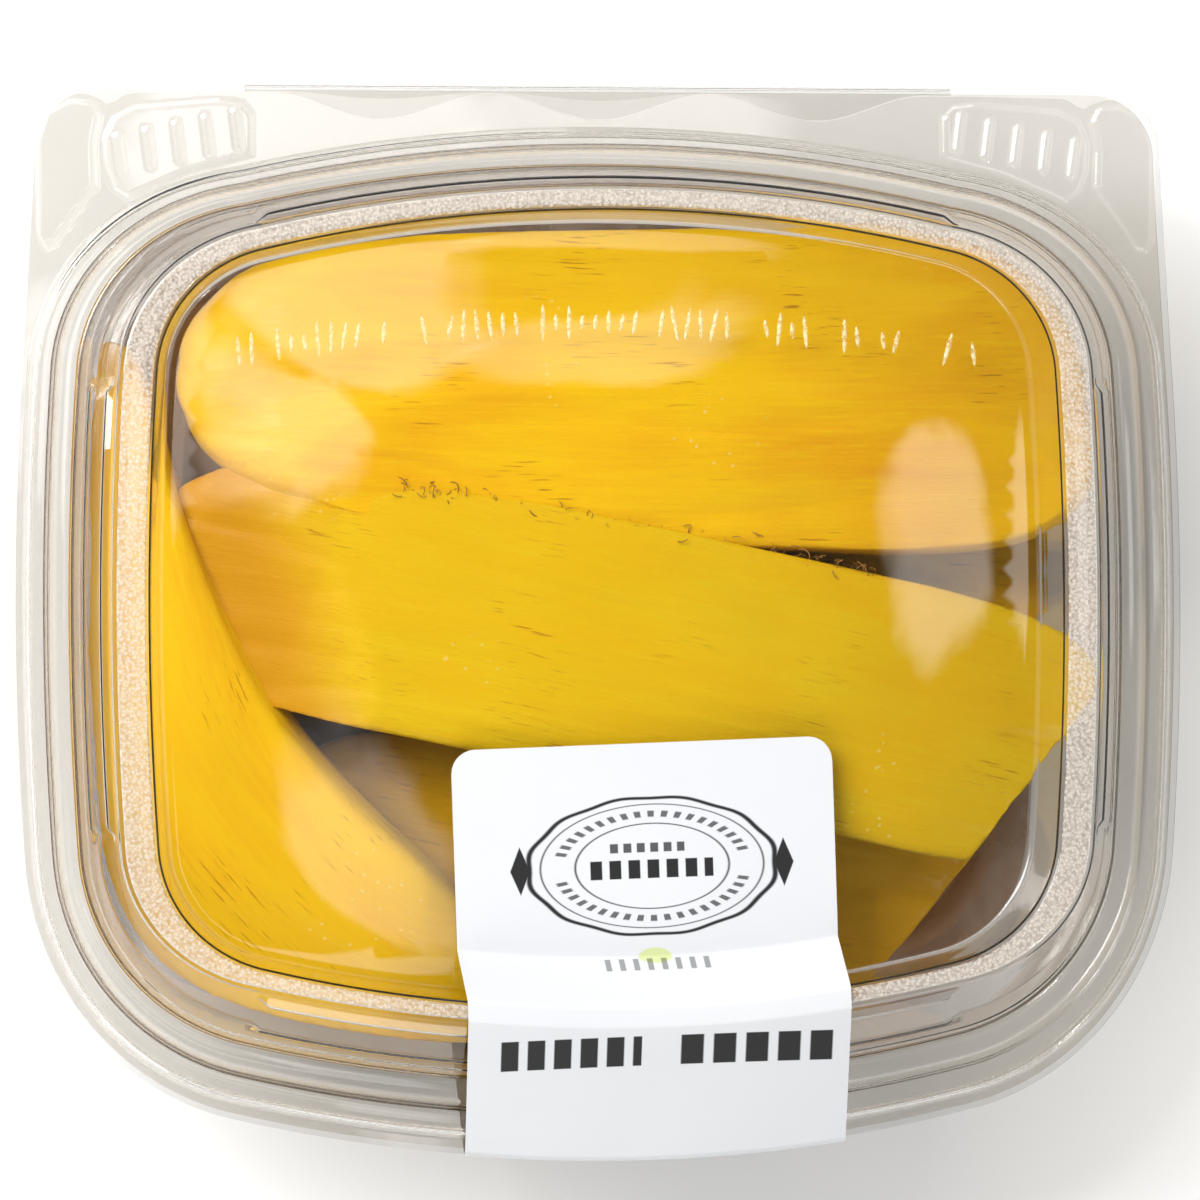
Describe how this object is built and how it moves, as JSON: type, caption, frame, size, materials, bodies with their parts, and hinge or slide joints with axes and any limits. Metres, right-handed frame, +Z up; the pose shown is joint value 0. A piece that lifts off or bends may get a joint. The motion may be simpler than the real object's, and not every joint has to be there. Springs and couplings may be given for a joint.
{
  "type": "tub of sliced mango",
  "caption": "Shut clear rectangular tub with a hinged lid, stacking ring and tear strip, filled with mango slices, a blank label over its front edge.",
  "frame": {"origin": "on the surface that the tub stands on, under the middle of its flange", "axes": "+Z up; +X along the hinge, to the right when the label faces the viewer; +Y towards the hinge"},
  "size_m": [0.1658, 0.1508, 0.0437],
  "materials": {
    "clear_plastic": "clear thermoformed sheet",
    "tear_strip": "clear thermoformed sheet",
    "label_paper": "satin white label",
    "pale_flesh": "moist cut fruit",
    "ripe_flesh": "moist cut fruit"
  },
  "bodies": {
    "root": {"tub": "clear_plastic", "lid": "clear_plastic", "tear_strip": "tear_strip", "label": "label_paper", "slice_left": "ripe_flesh", "slice_middle": "pale_flesh", "slice_back": "ripe_flesh", "slice_under": "ripe_flesh", "slice_front": "ripe_flesh"}
  },
  "joints": []
}
